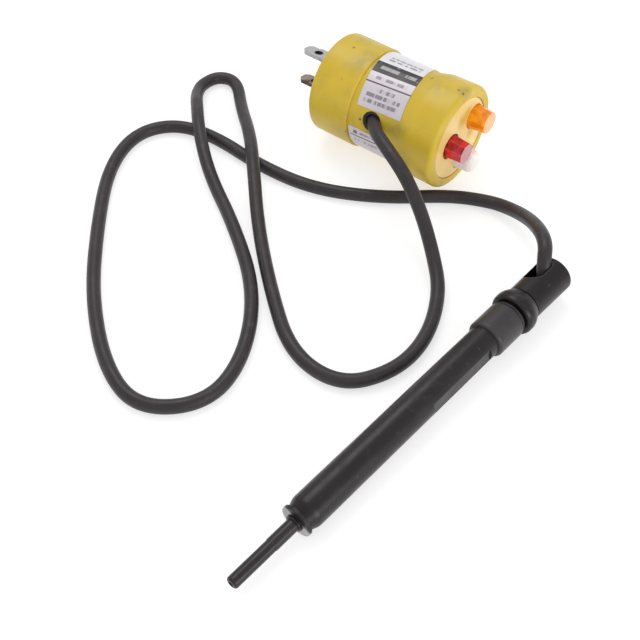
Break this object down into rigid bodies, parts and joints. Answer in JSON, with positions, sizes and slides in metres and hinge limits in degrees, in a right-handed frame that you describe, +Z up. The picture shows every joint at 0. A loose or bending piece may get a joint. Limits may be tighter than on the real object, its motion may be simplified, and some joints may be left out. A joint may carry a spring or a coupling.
{
  "type": "plug-in circuit test light",
  "caption": "Plug-in circuit test light: round moulded body with plug prongs at one end and indicator lenses at the other, with a black sheathed test probe on a loose cord.",
  "frame": {"origin": "on the surface it lies on, under the middle of tester and probe", "axes": "+X along the tester's axis from the plug prongs to the lenses, +Z up"},
  "size_m": [0.1876, 0.2094, 0.042],
  "materials": {
    "body_yellow": "satin mustard yellow, scuffed",
    "panel_yellow": "pale yellow moulding",
    "plug_face": "satin yellow",
    "insert_plastic": "natural nylon",
    "plated_brass": "nickel plated, dulled",
    "tarnished_brass": "worn plating over brass",
    "board": "laminate board",
    "screw_steel": "zinc plated",
    "resistor_body": "lacquered",
    "lamp_glass": "clear",
    "amber_plastic": "translucent amber",
    "red_plastic": "translucent red",
    "white_plastic": "frosted white",
    "wire_insulation": "matt",
    "label_face": "printed foil",
    "black_rubber": "matt black",
    "needle_metal": "plain",
    "probe_black": "satin black",
    "grey_plastic": "satin grey",
    "spring_steel": "spring wire",
    "cord_jacket": "matt dark grey"
  },
  "bodies": {
    "tester_and_probe": {"rear_cover": "body_yellow", "main_housing": "body_yellow", "lens_panel": "panel_yellow", "plug_insert": "plug_face", "line_blade": "plated_brass", "neutral_blade": "tarnished_brass", "ground_pin": "plated_brass", "circuit_board": "board", "lamp_carrier": "panel_yellow", "rear_posts": "insert_plastic", "front_posts": "screw_steel", "plug_screws": "screw_steel", "carrier_nuts": "screw_steel", "lamp_resistors": "resistor_body", "amber_lamp": "lamp_glass", "red_lamp": "lamp_glass", "white_lamp": "lamp_glass", "amber_lens": "amber_plastic", "red_lens": "red_plastic", "white_lens": "white_plastic", "plug_wires": "wire_insulation", "main_label": "label_face", "lower_label": "label_face", "cord_grommet": "black_rubber", "contact_needle": "needle_metal", "nose_bush": "probe_black", "front_washer": "grey_plastic", "probe_handle": "probe_black", "spring_seat": "needle_metal", "sheath_spring": "spring_steel", "probe_collar": "probe_black", "seal_ring": "black_rubber", "coupling_ring": "probe_black", "rear_cap": "probe_black", "test_cord": "cord_jacket", "tester_lead": "wire_insulation", "probe_lead": "wire_insulation"},
    "sheath": {"probe_sheath": "probe_black"}
  },
  "joints": [
    {"name": "sheath_slide", "type": "slide", "parent": "tester_and_probe", "child": "sheath", "axis": [0.0837, 0.9962, 0.0236], "range_m": [0, 0.008], "stiffness_N_per_m": 150, "springref_m": -0.006, "deforming": ["sheath_spring"]}
  ]
}
